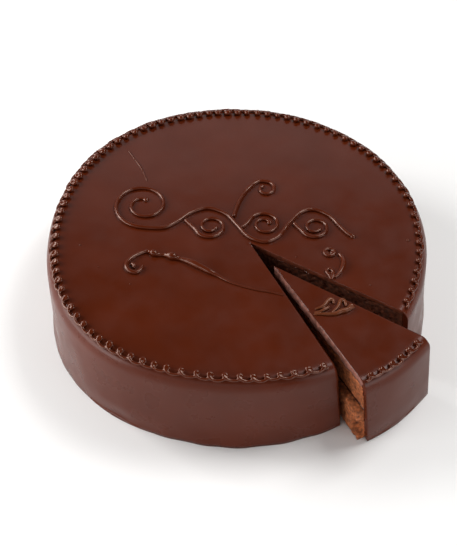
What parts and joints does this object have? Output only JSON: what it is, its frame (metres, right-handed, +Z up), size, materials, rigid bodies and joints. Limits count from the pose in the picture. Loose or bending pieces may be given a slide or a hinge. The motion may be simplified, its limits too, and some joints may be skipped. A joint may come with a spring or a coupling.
{
  "type": "sachertorte cake",
  "caption": "Round glazed chocolate sponge cake with a piped shell border and scrollwork on top, one wedge cut and drawn out a little.",
  "frame": {"origin": "centre of the cake's round, on its flat base", "axes": "+Z up; +X along the piped scrollwork, left to right for its reader; -Y towards the reader, and the drawn-out slice points between +X and -Y"},
  "size_m": [0.2429, 0.2434, 0.0681],
  "materials": {
    "glaze": "smooth poured chocolate glaze, soft gloss",
    "piping": "piped chocolate glaze, glossy",
    "sponge": "dense chocolate sponge crumb, matt",
    "jam": "dark apricot jam, moist"
  },
  "bodies": {
    "root": {"glaze": "glaze", "sponge_lower": "sponge", "jam_layer": "jam", "sponge_upper": "sponge", "shell_border": "piping", "vine_stem": "piping", "vine_scroll_left": "piping", "vine_scroll_middle": "piping", "vine_scroll_right": "piping", "vine_tendril": "piping", "flourish_stem": "piping", "flourish_hook": "piping", "knob": "piping", "bow": "piping", "drop": "piping", "slice_glaze": "glaze", "slice_sponge_lower": "sponge", "slice_jam_layer": "jam", "slice_sponge_upper": "sponge", "slice_shell_border": "piping", "leaf_upper": "piping", "leaf_middle": "piping", "leaf_lower": "piping"}
  },
  "joints": []
}
